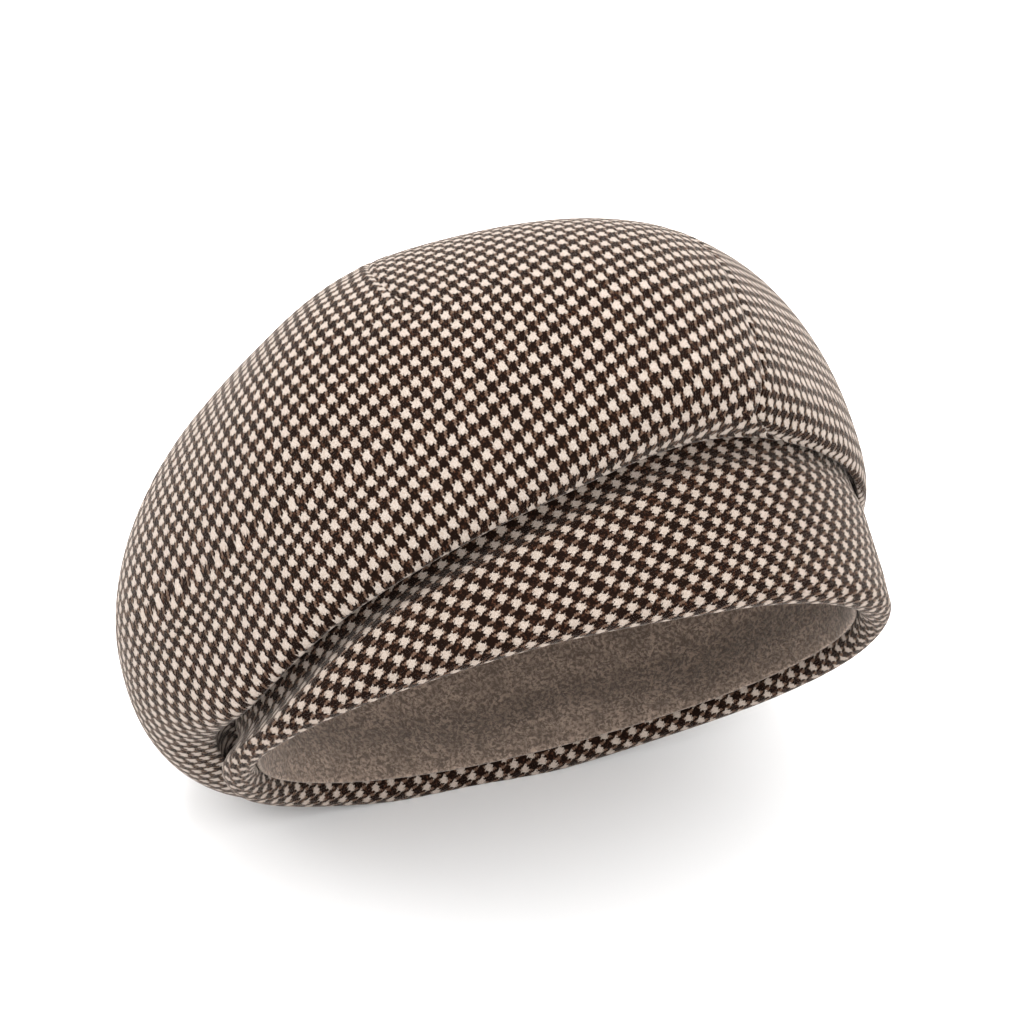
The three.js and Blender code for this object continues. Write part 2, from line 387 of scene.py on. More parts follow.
@dataclass
class FlatPattern:
    """Unrolls a curved piece of cloth on the cutting table with as little stretch as it can.

    Each round turns every triangle as a rigid piece, and then lets the corners settle between
    them.
    """

    rounds: int = 400
    least_weight: float = 0.05
    most_weight: float = 5.0
    least_area: float = 2e-3
    pin_weight: float = 1e3

    def flat_triangles(self, points: Array, faces: Array) -> tuple[Array, Array]:
        """Lays each triangle flat, each by itself.

        Args:
            points: Vertices of the curved piece, (count, 3).
            faces: Its triangles.

        Returns:
            The triangles that have an area, and their flat corners, (triangles, 3, 2).
        """
        corner, second, third = (points[faces[:, k]] for k in range(3))
        edge = second - corner
        length = np.linalg.norm(edge, axis=1)
        along = np.einsum("ij,ij->i", third - corner, edge) / np.maximum(length, TINY)
        across = np.sqrt(np.maximum(((third - corner) ** 2).sum(1) - along**2, 0))
        zero = np.zeros_like(length)
        flat = np.stack([zero, zero, length, zero, along, across], -1).reshape(-1, 3, 2)
        sound = length * across > self.least_area
        return faces[sound], flat[sound]

    def side_weights(self, flat: Array) -> list[Array]:
        """How firmly each side of each triangle holds its length.

        Args:
            flat: Corners of the flat triangles, (triangles, 3, 2).

        Returns:
            One array for each entry of SIDES.
        """
        weights = []
        for corner, i, j in SIDES:
            u, v = flat[:, i] - flat[:, corner], flat[:, j] - flat[:, corner]
            area = np.abs(u[:, 0] * v[:, 1] - u[:, 1] * v[:, 0])
            firmness = (u * v).sum(1) / area
            weights.append(np.clip(firmness, self.least_weight, self.most_weight) / 2)
        return weights

    def turns(self, flat: Array, now: Array, weights: list[Array]) -> Array:
        """The turn of each flat triangle that fits best on where its corners are now.

        Args:
            flat: Corners of the flat triangles, (triangles, 3, 2).
            now: Where they are now, in the same shape.
            weights: What side_weights gives.

        Returns:
            Turning matrices, (triangles, 2, 2).
        """
        spin = np.zeros((len(flat), 2, 2))
        for (_, i, j), weight in zip(SIDES, weights):
            moved, rest = now[:, i] - now[:, j], flat[:, i] - flat[:, j]
            spin += weight[:, None, None] * np.einsum("mi,mj->mij", moved, rest)
        cos, sin = spin[:, 0, 0] + spin[:, 1, 1], spin[:, 1, 0] - spin[:, 0, 1]
        size = np.hypot(cos, sin) + TINY
        return np.stack([cos, -sin, sin, cos], -1).reshape(-1, 2, 2) / size[:, None, None]

    def unroll(self, points: Array, faces: Array, start: Array) -> Array:
        """Finds the flat place of each vertex.

        Args:
            points: Vertices of the curved piece, (count, 3).
            faces: Its triangles.
            start: A rough flat layout to begin from, (count, 2).

        Returns:
            The flat layout, (count, 2).
        """
        faces, flat = self.flat_triangles(points, faces)
        weights = self.side_weights(flat)
        count = len(points)
        system = np.zeros((count, count))
        for (_, i, j), weight in zip(SIDES, weights):
            a, b = faces[:, i], faces[:, j]
            np.add.at(system, (a, b), -weight)
            np.add.at(system, (b, a), -weight)
            np.add.at(system, (a, a), weight)
            np.add.at(system, (b, b), weight)
        loose = np.setdiff1d(np.arange(count), faces)
        system[loose, loose] += 1
        pinned = faces[0, 0]
        system[pinned, pinned] += self.pin_weight
        inverse = np.linalg.inv(system)
        place = start.copy()
        for _ in range(self.rounds):
            target = np.zeros((count, 2))
            target[pinned] += self.pin_weight * place[pinned]
            target[loose] = place[loose]
            turn = self.turns(flat, place[faces], weights)
            for (_, i, j), weight in zip(SIDES, weights):
                push = np.einsum("mij,mj->mi", turn, flat[:, i] - flat[:, j]) * weight[:, None]
                np.add.at(target, faces[:, i], push)
                np.add.at(target, faces[:, j], -push)
            place = inverse @ target
        return place


def refine(coarse: Array, times: int, axis: int) -> Array:
    """Puts more points between the points of a grid, on smooth curves through them.

    Args:
        coarse: The grid, with the values along its last axis.
        times: How many steps each step is divided into.
        axis: The axis to refine.

    Returns:
        The finer grid.
    """
    coarse = np.moveaxis(coarse, axis, 0)
    first, last = 2 * coarse[0] - coarse[1], 2 * coarse[-1] - coarse[-2]
    padded = np.concatenate([first[None], coarse, last[None]])
    place = np.arange((len(coarse) - 1) * times + 1) / times
    base = np.minimum(place.astype(int), len(coarse) - 2)
    part = (place - base).reshape(-1, *[1] * (coarse.ndim - 1))
    fine = curve_between(*(padded[base + step] for step in range(4)), part)
    return np.moveaxis(fine, 0, axis)


@dataclass(frozen=True)
class Grain:
    """How the cloth's threads lie on a flat pattern.

    Each family of threads is counted along its direction, in degrees from +x, and its pitch is the
    length in millimetres of one repeat of the check.
    """

    warp_direction: float
    warp_pitch: float
    weft_direction: float
    weft_pitch: float

    def rule(self, flat: Array) -> Array:
        """Counts the check's repeats at each point of a flat pattern.

        Args:
            flat: Points on the flat pattern in millimetres, along a last axis of two.

        Returns:
            Repeats across the warp and across the weft, along a last axis of two.
        """
        x, y = flat[..., 0], flat[..., 1]
        counted = []
        for direction, pitch in (
            (math.radians(self.warp_direction), self.warp_pitch),
            (math.radians(self.weft_direction), self.weft_pitch),
        ):
            counted.append((x * math.cos(direction) + y * math.sin(direction)) / pitch)
        return np.stack(counted, -1)


# --- meshes --------------------------------------------------------------------------------------


@dataclass
class ClothMesh:
    """Gathers the faces of one piece of cloth and turns them into a Blender object."""

    name: str
    points: list[Array] = field(default_factory=list)
    faces: list[Array] = field(default_factory=list)
    weave: list[Array] = field(default_factory=list)
    count: int = 0

    def add_points(self, points: Array) -> Array:
        """Adds points in metres.

        Args:
            points: Points, along a last axis of three.

        Returns:
            Their numbers, in the shape of the points' other axes.
        """
        number = self.count + np.arange(points[..., 0].size).reshape(points.shape[:-1])
        self.points.append(points.reshape(-1, 3))
        self.count += number.size
        return number

    def add_grid(self, index: Array, weave: Array | None = None) -> None:
        """Adds the quads of a grid of vertices.

        Args:
            index: Vertex numbers, (columns, rows), with rows running down a face seen from outside
                and columns running towards growing azimuth.
            weave: The check's repeats at each vertex, (columns, rows, 2).
        """
        order = ((0, 0), (0, 1), (1, 1), (1, 0))

        def corners(grid: Array) -> Array:
            """The values at the four corners of each cell of a grid.

            Args:
                grid: Values, (columns, rows, ...).

            Returns:
                Values, (cells, 4, ...).
            """
            columns, rows = grid.shape[0] - 1, grid.shape[1] - 1
            cells = [grid[c : c + columns, r : r + rows] for c, r in order]
            return np.stack(cells, 2).reshape(-1, 4, *grid.shape[2:])

        self.faces.append(corners(index))
        if weave is not None:
            self.weave.append(corners(weave))

    def build(self) -> bpy.types.Object:
        """Makes the object, with cells that have two corners in one place turned into triangles.

        Returns:
            The object, linked into the scene.
        """
        points = np.concatenate(self.points)
        faces = np.concatenate(self.faces)
        mesh = bpy.data.meshes.new(self.name)
        lists, kept = [], []
        for number, face in enumerate(faces.tolist()):
            single = [k for k in range(4) if face[k] != face[k - 1]]
            if len(single) >= 3:
                lists.append([face[k] for k in single])
                kept.extend(4 * number + k for k in single)
        mesh.from_pydata(points.tolist(), [], lists)
        if self.weave:
            weave = np.concatenate(self.weave).reshape(-1, 2)[kept]
            layer = mesh.uv_layers.new(name=WEAVE_MAP)
            layer.data.foreach_set("uv", weave.astype(np.float32).ravel())
        mesh.shade_smooth()
        mesh.validate()
        piece = bpy.data.objects.new(self.name, mesh)
        bpy.context.scene.collection.objects.link(piece)
        return piece


def grid_normals(points: Array) -> Array:
    """Outward unit normals of a grid of points.

    Args:
        points: (columns, rows, 3), with columns towards growing azimuth and rows running down.

    Returns:
        Normals, (columns, rows, 3).
    """
    normal = np.cross(np.gradient(points, axis=1), np.gradient(points, axis=0))
    length = np.linalg.norm(normal, axis=-1, keepdims=True)
    return normal / np.maximum(length, TINY)


# --- finishes ------------------------------------------------------------------------------------


@dataclass(frozen=True)
class Noise:
    """How fine a noise is, how many finer layers it has and how strong they are."""

    scale: float
    detail: float = 2.0
    roughness: float = 0.5


@dataclass(frozen=True)
class Nap:
    """How the face of a cloth takes the light."""

    roughness: float
    specular: float
    sheen: float
    sheen_roughness: float
    sheen_tint: Colour


class Sketch:
    """Adds nodes to one material, so that a finish can be written as a formula."""

    def __init__(self, name: str) -> None:
        """Starts an empty material.

        Args:
            name: The material's name.
        """
        self.material = bpy.data.materials.new(name)
        self.material.use_nodes = True
        self.tree = self.material.node_tree
        self.tree.nodes.clear()

    def node(self, kind: str, **settings: object) -> bpy.types.Node:
        """Adds a node.

        Args:
            kind: The node's type.
            **settings: Its properties.

        Returns:
            The node.
        """
        node = self.tree.nodes.new(kind)
        for setting, value in settings.items():
            setattr(node, setting, value)
        return node

    def feed(self, socket: bpy.types.NodeSocket, value: object) -> None:
        """Sets a socket to a value, or links it to another socket.

        Args:
            socket: The socket to feed.
            value: A value or a socket.
        """
        if isinstance(value, bpy.types.NodeSocket):
            self.tree.links.new(value, socket)
        else:
            socket.default_value = value

    def math(self, operation: str, *values: object) -> bpy.types.NodeSocket:
        """Adds a math node.

        Args:
            operation: What it does.
            *values: Numbers or sockets to feed it.

        Returns:
            Its result.
        """
        node = self.node("ShaderNodeMath", operation=operation)
        for socket, value in zip(node.inputs, values):
            self.feed(socket, value)
        return node.outputs[0]

    def vector(self, operation: str, *values: object) -> bpy.types.NodeSocket:
        """Adds a vector math node.

        Args:
            operation: What it does, on its first inputs in order.
            *values: Vectors or sockets to feed it.

        Returns:
            Its vector result.
        """
        node = self.node("ShaderNodeVectorMath", operation=operation)
        for socket, value in zip(node.inputs, values):
            self.feed(socket, value)
        return node.outputs[0]

    def scaled(self, vector: object, factor: float) -> bpy.types.NodeSocket:
        """A vector times a number."""
        return self.vector("MULTIPLY", vector, (factor, factor, factor))

    def mix(self, factor: object, first: object, second: object) -> bpy.types.NodeSocket:
        """Mixes two colours.

        Args:
            factor: 0 gives the first colour and 1 the second.
            first: A colour or a socket.
            second: A colour or a socket.

        Returns:
            The mixed colour.
        """
        node = self.node("ShaderNodeMix", data_type="RGBA")
        for socket, value in ((0, factor), (6, first), (7, second)):
            if isinstance(value, tuple):
                value = (*value, 1.0)
            self.feed(node.inputs[socket], value)
        return node.outputs[2]

    def noise(
        self, vector: object, noise: Noise
    ) -> tuple[bpy.types.NodeSocket, bpy.types.NodeSocket]:
        """Adds a noise texture.

        Args:
            vector: Where it is read.
            noise: What it is like.

        Returns:
            Its value and its colour.
        """
        node = self.node("ShaderNodeTexNoise")
        self.feed(node.inputs["Vector"], vector)
        node.inputs["Scale"].default_value = noise.scale
        node.inputs["Detail"].default_value = noise.detail
        node.inputs["Roughness"].default_value = noise.roughness
        return node.outputs[0], node.outputs[1]

    def strayed(self, vector: object, noise: Noise, reach: float) -> bpy.types.NodeSocket:
        """Lets a vector stray to both sides of its place.

        Args:
            vector: The vector.
            noise: The noise that it follows.
            reach: How far the noise's whole span moves it.

        Returns:
            The moved vector.
        """
        _, colour = self.noise(vector, noise)
        aside = self.vector("SUBTRACT", colour, (0.5, 0.5, 0.5))
        return self.vector("ADD", vector, self.scaled(aside, reach))

    def rise(self, value: object, start: float, end: float) -> bpy.types.NodeSocket:
        """Turns a value into a smooth rise from 0 to 1.

        Args:
            value: Where the rise is read.
            start: Where it leaves 0.
            end: Where it reaches 1.

        Returns:
            The height of the rise.
        """
        node = self.node("ShaderNodeMapRange", interpolation_type="SMOOTHSTEP")
        self.feed(node.inputs["Value"], value)
        node.inputs["From Min"].default_value = start
        node.inputs["From Max"].default_value = end
        return node.outputs[0]

    def finish(
        self, colour: object, height: object, depth: float, nap: Nap
    ) -> bpy.types.Material:
        """Ends the sketch in a cloth shader.

        Args:
            colour: The colour at each point.
            height: The relief at each point, in parts of the depth.
            depth: How far a relief of 1 stands out, in metres.
            nap: How the cloth takes the light.

        Returns:
            The material.
        """
        bump = self.node("ShaderNodeBump")
        bump.inputs["Strength"].default_value = 1.0
        bump.inputs["Distance"].default_value = depth
        self.feed(bump.inputs["Height"], height)
        shader = self.node("ShaderNodeBsdfPrincipled")
        self.feed(shader.inputs["Base Color"], colour)
        self.feed(shader.inputs["Normal"], bump.outputs[0])
        shader.inputs["Roughness"].default_value = nap.roughness
        shader.inputs["Specular IOR Level"].default_value = nap.specular
        shader.inputs["Sheen Weight"].default_value = nap.sheen
        shader.inputs["Sheen Roughness"].default_value = nap.sheen_roughness
        shader.inputs["Sheen Tint"].default_value = (*nap.sheen_tint, 1.0)
        output = self.node("ShaderNodeOutputMaterial")
        self.feed(output.inputs["Surface"], shader.outputs[0])
        return self.material


@dataclass(frozen=True)
class HoundstoothWool:
    """Wool in the classic small check: four dark and four light yarns each way, in a 2/2 twill.

    A light yarn that crosses a dark stripe sinks between its neighbours, so it shows bright next
    to the light square that it comes from and brown further on. The noises are read in yarns, but
    slack, flecks and patches in repeats of the check. Each pair of shades says between which values
    of its noise the colour turns.
    """

    name: str
    dark: Colour = (0.0075, 0.0035, 0.0022)
    light: Colour = (0.5, 0.44, 0.395)
    shaded_part: Colour = (0.62, 0.57, 0.52)
    sunken: Colour = (0.1, 0.06, 0.041)
    fleck: Colour = (0.08, 0.035, 0.02)
    yarns: int = 8
    twill: float = 1.0
    twill_length: float = 4.0
    start: float = 0.0
    dark_spread: float = 0.15
    edge: float = 0.25
    sinking: tuple[float, float] = (0.3, 1.5)
    slack: Noise = Noise(0.3)
    slack_reach: float = 0.38
    fuzz: Noise = Noise(0.7, 4.0, 0.75)
    fuzz_reach: float = 1.6
    fibres: Noise = Noise(1.6, 3.0, 0.7)
    fibre_shades: tuple[float, float] = (0.3, 0.8)
    flecks: Noise = Noise(5.0, 2.0, 0.6)
    fleck_shades: tuple[float, float] = (0.5, 0.75)
    patches: Noise = Noise(0.7)
    patch_shades: tuple[float, float] = (0.35, 0.7)
    relief: float = 0.00016
    yarn_relief: float = 2.4
    fibre_relief: float = 0.8
    nap: Nap = Nap(0.95, 0.03, 0.4, 0.15, (0.95, 0.85, 0.77))

    def dye(self) -> bpy.types.Material:
        """Weaves the material.

        Returns:
            The material, which reads the check's repeats from the weave map.
        """
        sketch = Sketch(self.name)
        ruled = sketch.node("ShaderNodeUVMap", uv_map=WEAVE_MAP).outputs[0]
        ruled = sketch.strayed(ruled, self.slack, self.slack_reach)
        yarn = sketch.strayed(sketch.scaled(ruled, float(self.yarns)), self.fuzz, self.fuzz_reach)
        parts = sketch.node("ShaderNodeSeparateXYZ")
        sketch.feed(parts.inputs[0], yarn)
        warp, weft = parts.outputs[0], parts.outputs[1]
        warp_up = self.warp_on_top(sketch, warp, weft)

        def either(first: object, second: object) -> bpy.types.NodeSocket:
            """The first value where the warp lies on top and the second where the weft does."""
            kept = sketch.math("MULTIPLY", first, warp_up)
            return sketch.math("MULTIPLY_ADD", second, sketch.math("SUBTRACT", 1.0, warp_up), kept)

        def rounded(count: bpy.types.NodeSocket) -> bpy.types.NodeSocket:
            """The height of a round yarn across its width."""
            part = sketch.math("FRACT", count)
            return sketch.math("MULTIPLY", sketch.math("SUBTRACT", 1.0, part), part)

        warp_depth, weft_depth = self.stripe_depth(sketch, warp), self.stripe_depth(sketch, weft)
        dark = sketch.rise(either(warp_depth, weft_depth), -self.edge, self.edge)
        sunken = sketch.rise(either(weft_depth, warp_depth), *self.sinking)
        fibre, _ = sketch.noise(yarn, self.fibres)
        light_yarn = self.light_yarn(sketch, fibre, sunken)
        colour = sketch.mix(dark, light_yarn, self.dark_yarn(sketch, ruled))
        height = sketch.math("MULTIPLY", either(rounded(warp), rounded(weft)), self.yarn_relief)
        height = sketch.math("ADD", height, sketch.math("MULTIPLY", fibre, self.fibre_relief))
        return sketch.finish(colour, height, self.relief, self.nap)

    def warp_on_top(
        self, sketch: Sketch, warp: bpy.types.NodeSocket, weft: bpy.types.NodeSocket
    ) -> bpy.types.NodeSocket:
        """Where the twill brings the warp to the face.

        Args:
            sketch: The material's sketch.
            warp: Yarns counted across the warp.
            weft: Yarns counted across the weft.

        Returns:
            1 where the warp lies on top and 0 where the weft does.
        """
        warp_count, weft_count = sketch.math("FLOOR", warp), sketch.math("FLOOR", weft)
        step = sketch.math("MULTIPLY_ADD", weft_count, self.twill, warp_count)
        step = sketch.math("ADD", step, self.start)
        phase = sketch.math("FLOORED_MODULO", step, self.twill_length)
        return sketch.math("LESS_THAN", phase, self.twill_length / 2 - 0.5)

    def stripe_depth(self, sketch: Sketch, count: bpy.types.NodeSocket) -> bpy.types.NodeSocket:
        """How many yarns deep a count lies inside its dark stripe.

        Args:
            sketch: The material's sketch.
            count: Yarns counted across the warp or the weft.

        Returns:
            The depth, below 0 outside the stripe.
        """
        quarter, half, whole = self.yarns / 4, self.yarns / 2, float(self.yarns)
        turned = sketch.math("FLOORED_MODULO", sketch.math("ADD", count, quarter), whole)
        away = sketch.math("ABSOLUTE", sketch.math("SUBTRACT", turned, half))
        return sketch.math("SUBTRACT", quarter + self.dark_spread, away)

    def light_yarn(
        self, sketch: Sketch, fibre: bpy.types.NodeSocket, sunken: bpy.types.NodeSocket
    ) -> bpy.types.NodeSocket:
        """The light yarns' colour.

        Args:
            sketch: The material's sketch.
            fibre: The noise of the fibres.
            sunken: 1 where the yarn has sunk between dark ones.

        Returns:
            The colour.
        """
        shaded = tuple(colour * part for colour, part in zip(self.light, self.shaded_part))
        light = sketch.mix(sketch.rise(fibre, *self.fibre_shades), shaded, self.light)
        return sketch.mix(sunken, light, self.sunken)

    def dark_yarn(self, sketch: Sketch, ruled: bpy.types.NodeSocket) -> bpy.types.NodeSocket:
        """The dark yarns' colour, with flecks of brown fibre in patches.

        Args:
            sketch: The material's sketch.
            ruled: The check's repeats.

        Returns:
            The colour.
        """
        patch, _ = sketch.noise(ruled, self.patches)
        fleck, _ = sketch.noise(ruled, self.flecks)
        flecked = sketch.mix(sketch.rise(fleck, *self.fleck_shades), self.dark, self.fleck)
        return sketch.mix(sketch.rise(patch, *self.patch_shades), self.dark, flecked)


@dataclass(frozen=True)
class WoolFelt:
    """Pressed felt: mottled taupe with a matted nap. Its noises are read in metres."""

    name: str
    shade: Colour = (0.31, 0.232, 0.182)
    dim: Colour = (0.22, 0.163, 0.127)
    speck_part: float = 0.45
    clumps: Noise = Noise(160.0, 3.0, 0.6)
    clump_shades: tuple[float, float] = (0.35, 0.65)
    clump_relief: float = 1.2
    matting: float = 0.004
    fibres: Noise = Noise(800.0, 3.0, 0.7)
    speck_shades: tuple[float, float] = (0.4, 0.62)
    relief: float = 0.0007
    nap: Nap = Nap(0.95, 0.1, 0.3, 0.5, (0.9, 0.85, 0.8))

    def dye(self) -> bpy.types.Material:
        """Mixes the material.

        Returns:
            The material.
        """
        sketch = Sketch(self.name)
        place = sketch.node("ShaderNodeTexCoord").outputs["Object"]
        clump, wander = sketch.noise(place, self.clumps)
        matted = sketch.vector("ADD", place, sketch.scaled(wander, self.matting))
        fibre, _ = sketch.noise(matted, self.fibres)
        colour = sketch.mix(sketch.rise(clump, *self.clump_shades), self.dim, self.shade)
        speck = tuple(part * self.speck_part for part in self.dim)
        colour = sketch.mix(sketch.rise(fibre, *self.speck_shades), speck, colour)
        height = sketch.math("ADD", fibre, sketch.math("MULTIPLY", clump, self.clump_relief))
        return sketch.finish(colour, height, self.relief, self.nap)


# --- the hat's pieces ----------------------------------------------------------------------------


BACK_SEAM = Line.straight(130.0)
FRONT_SEAM = Line(
    (
        (0.0, 316.0),
        (0.3, 318.0),
        (0.6, 318.0),
        (0.85, 311.0),
        (1.1, 309.0),
        (1.6, 308.0),
        (1.9, 313.0),
        (2.0, 317.0),
    )
)


@dataclass
class CrownHalf:
    """One half of the crown: three gores between two seams, with a dart between each two.

    Widths and depths are in millimetres, fades in rows, and a ridge's sizes in parts of the seam's
    or dart's own. start_fan says how wide the rough layout of the flat pattern opens, and
    squaring_reach within how many degrees the bulge's direction is read.
    """

    name: str
    node: str
    lines: tuple[Line, Line, Line, Line]
    middle_azimuth: float
    grain: Grain
    finish: HoundstoothWool
    form: HatForm = field(default_factory=HatForm)
    dart_end: float = 0.7
    dart_fade: float = 0.12
    dart_depth: float = 0.7
    dart_width: float = 1.1
    seam_depth: float = 0.45
    seam_fade: float = 0.6
    seam_width: float = 1.3
    seam_allowance: float = 3.0
    ridge_rise: float = 0.3
    ridge_distance: float = 2.6
    ridge_width: float = 1.6
    apex_fade: float = 0.04
    fold_fade: float = 0.4
    start_fan: float = 0.75
    squaring_reach: float = 4.0
    unevenness: Unevenness = field(default_factory=lambda: Unevenness(0.35, 130.0))
    gore_steps: int = 12
    gore_detail: int = 12
    row_steps: tuple[int, int, int, int] = (20, 5, 1, 1)
    row_detail: int = 7

    @property
    def gores(self) -> int:
        """How many gores lie between the lines."""
        return len(self.lines) - 1

    def rows(self, times: int) -> Array:
        """The rows from the apex to the tuck's end.

        Args:
            times: How many steps each coarse step is divided into.

        Returns:
            The rows.
        """
        counts = [count * times for count in self.row_steps]
        parts = [start + np.arange(count) / count for start, count in enumerate(counts)]
        return np.append(np.concatenate(parts), float(Row.TUCK_END))

    def azimuths(self, gore: int, rows: Array, times: int) -> Array:
        """The azimuths of one gore's grid.

        Args:
            gore: The gore's number.
            rows: The grid's rows.
            times: How many steps each of its steps is divided into.

        Returns:
            Azimuths, (columns, rows).
        """
        first, last = (line.azimuth(rows) for line in self.lines[gore : gore + 2])
        part = np.linspace(0, 1, self.gore_steps * times + 1)[:, None]
        return blend(first, last, part)

    def cut_pattern(self) -> list[Array]:
        """Unrolls the half, cut open along its darts.

        Returns:
            The flat place of each point of each gore's coarse grid, with the origin on the bulge
            at the middle azimuth and the bulge running along +x there.
        """
        rows = self.rows(1)
        rows = rows[rows <= Row.FOLD]
        cut = int(np.argmin(np.abs(rows - self.dart_end)))
        points, faces, start, index = [], [], [], []
        count = 0
        for gore in range(self.gores):
            azimuth = self.azimuths(gore, rows, 1)
            place = self.form.crown(azimuth, rows[None, :])
            number = count + np.arange(azimuth.size).reshape(azimuth.shape)
            number[:, 0] = number[0, 0]
            count += azimuth.size
            if index:
                number[0, cut:] = index[-1][-1, cut:]
            index.append(number)
            points.append(place.reshape(-1, 3))
            down = np.linalg.norm(np.diff(place, axis=1), axis=2).cumsum(1)
            down = np.concatenate([np.zeros((len(down), 1)), down], 1)
            turn = np.radians(azimuth - self.middle_azimuth) * self.start_fan
            start.append(np.stack([down * np.sin(turn), -down * np.cos(turn)], -1).reshape(-1, 2))
            faces.append(grid_faces(number))
        joined = (np.concatenate(parts) for parts in (points, faces, start))
        flat = FlatPattern().unroll(*joined)
        laid = self.squared([flat[number] for number in index], rows)
        return [self.with_tuck(number, gore) for number, gore in enumerate(laid)]

    def squared(self, laid: list[Array], rows: Array) -> list[Array]:
        """Turns a flat pattern about, so that the bulge runs along +x at the middle azimuth.

        Args:
            laid: The flat place of each gore's points.
            rows: The rows of their grids.

        Returns:
            The turned pattern, with the origin on the bulge at the middle azimuth.
        """
        bulge = self.row_steps[Row.APEX]
        spots = np.concatenate([self.azimuths(g, rows, 1)[:, bulge] for g in range(self.gores)])
        line = np.concatenate([gore[:, bulge] for gore in laid])
        order = np.argsort(spots, kind="stable")
        reach = self.squaring_reach
        before, middle, after = (
            np.array([np.interp(azimuth, spots[order], line[order, k]) for k in range(2)])
            for azimuth in self.middle_azimuth + np.array([-reach, 0, reach])
        )
        along = (after - before) / np.linalg.norm(after - before)
        turned = np.array([[along[0], along[1]], [-along[1], along[0]]])
        return [(gore - middle) @ turned.T for gore in laid]

    def with_tuck(self, gore: int, flat: Array) -> Array:
        """Lets a gore's flat pattern run on straight over the turn and the tuck.

        Args:
            gore: The gore's number.
            flat: Its flat pattern as far as the last row that was unrolled.

        Returns:
            The flat pattern with the rest of its rows.
        """
        rows = self.rows(1)[flat.shape[1] - 1 :]
        azimuth = self.azimuths(gore, rows, 1)
        place = self.form.crown(azimuth, np.broadcast_to(rows, azimuth.shape))
        steps = np.linalg.norm(np.diff(place, axis=1), axis=2).cumsum(1)[..., None]
        ahead = flat[:, -1] - flat[:, -3]
        ahead /= np.linalg.norm(ahead, axis=1, keepdims=True)
        return np.concatenate([flat, flat[:, -1:] + ahead[:, None] * steps], 1)

    def sewn(self, points: Array, azimuth: Array, rows: Array) -> Array:
        """Sinks the seams and darts into the crown's face and gives the cloth its unevenness.

        Args:
            points: The smooth face, (columns, rows, 3).
            azimuth: Its azimuths.
            rows: Its rows.

        Returns:
            The sewn face.
        """
        normal = grid_normals(points)
        girth = np.linalg.norm(np.gradient(points, axis=0), axis=2)
        per_degree = girth / np.maximum(np.abs(np.gradient(azimuth, axis=0)), TINY)
        out = np.zeros(points.shape[:2])
        for number, line in enumerate(self.lines):
            away = (azimuth - line.azimuth(rows)) * per_degree
            if number in (0, self.gores):
                end = (Row.FOLD, Row.FOLD + self.seam_fade)
                depth, width = self.seam_depth, self.seam_width
            else:
                end = (self.dart_end - self.dart_fade, self.dart_end + self.dart_fade)
                depth, width = self.dart_depth, self.dart_width
            depth = depth * (1 - smooth_step(rows, *end))
            out -= depth * np.exp(-((away / width) ** 2))
            beside = (np.abs(away) - self.ridge_distance * width) / (self.ridge_width * width)
            out += self.ridge_rise * depth * np.exp(-(beside**2))
        quiet = 1 - smooth_step(rows, Row.FOLD, Row.FOLD + self.fold_fade)
        out += self.unevenness.rise(points) * quiet
        out = out * smooth_step(rows, Row.APEX, self.apex_fade)
        return points + normal * out[..., None]

    def build(self) -> bpy.types.Object:
        """Cuts, sews and dresses the half.

        Returns:
            The piece.
        """
        rows = self.rows(self.row_detail)
        pattern = [refine(gore, self.gore_detail, 0) for gore in self.cut_pattern()]
        pattern = [refine(gore, self.row_detail, 1) for gore in pattern]
        gores = [self.azimuths(gore, rows, self.gore_detail) for gore in range(self.gores)]
        azimuth = np.concatenate([gores[0], *(gore[1:] for gore in gores[1:])])
        smooth = self.form.crown(azimuth, np.broadcast_to(rows, azimuth.shape))
        face = self.sewn(smooth, azimuth, rows[None, :])
        inward = -grid_normals(smooth)
        first = face[:1] + inward[:1] * self.seam_allowance
        last = face[-1:] + inward[-1:] * self.seam_allowance
        face = self.form.lay(np.concatenate([first, face, last]))
        cloth = ClothMesh(self.name)
        index = cloth.add_points(face)
        index[:, 0] = index[1, 0]
        steps = self.gore_steps * self.gore_detail
        for gore, flat in enumerate(pattern):
            weave = self.grain.rule(flat)
            columns = index[1 + gore * steps : 2 + (gore + 1) * steps]
            cloth.add_grid(columns, weave)
            if gore == 0:
                cloth.add_grid(index[:2], np.stack([weave[0], weave[0]]))
            if gore == self.gores - 1:
                cloth.add_grid(index[-2:], np.stack([weave[-1], weave[-1]]))
        piece = cloth.build()
        piece.data.materials.append(self.finish.dye())
        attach(piece, BODY)
        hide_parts(self.node)
        return piece


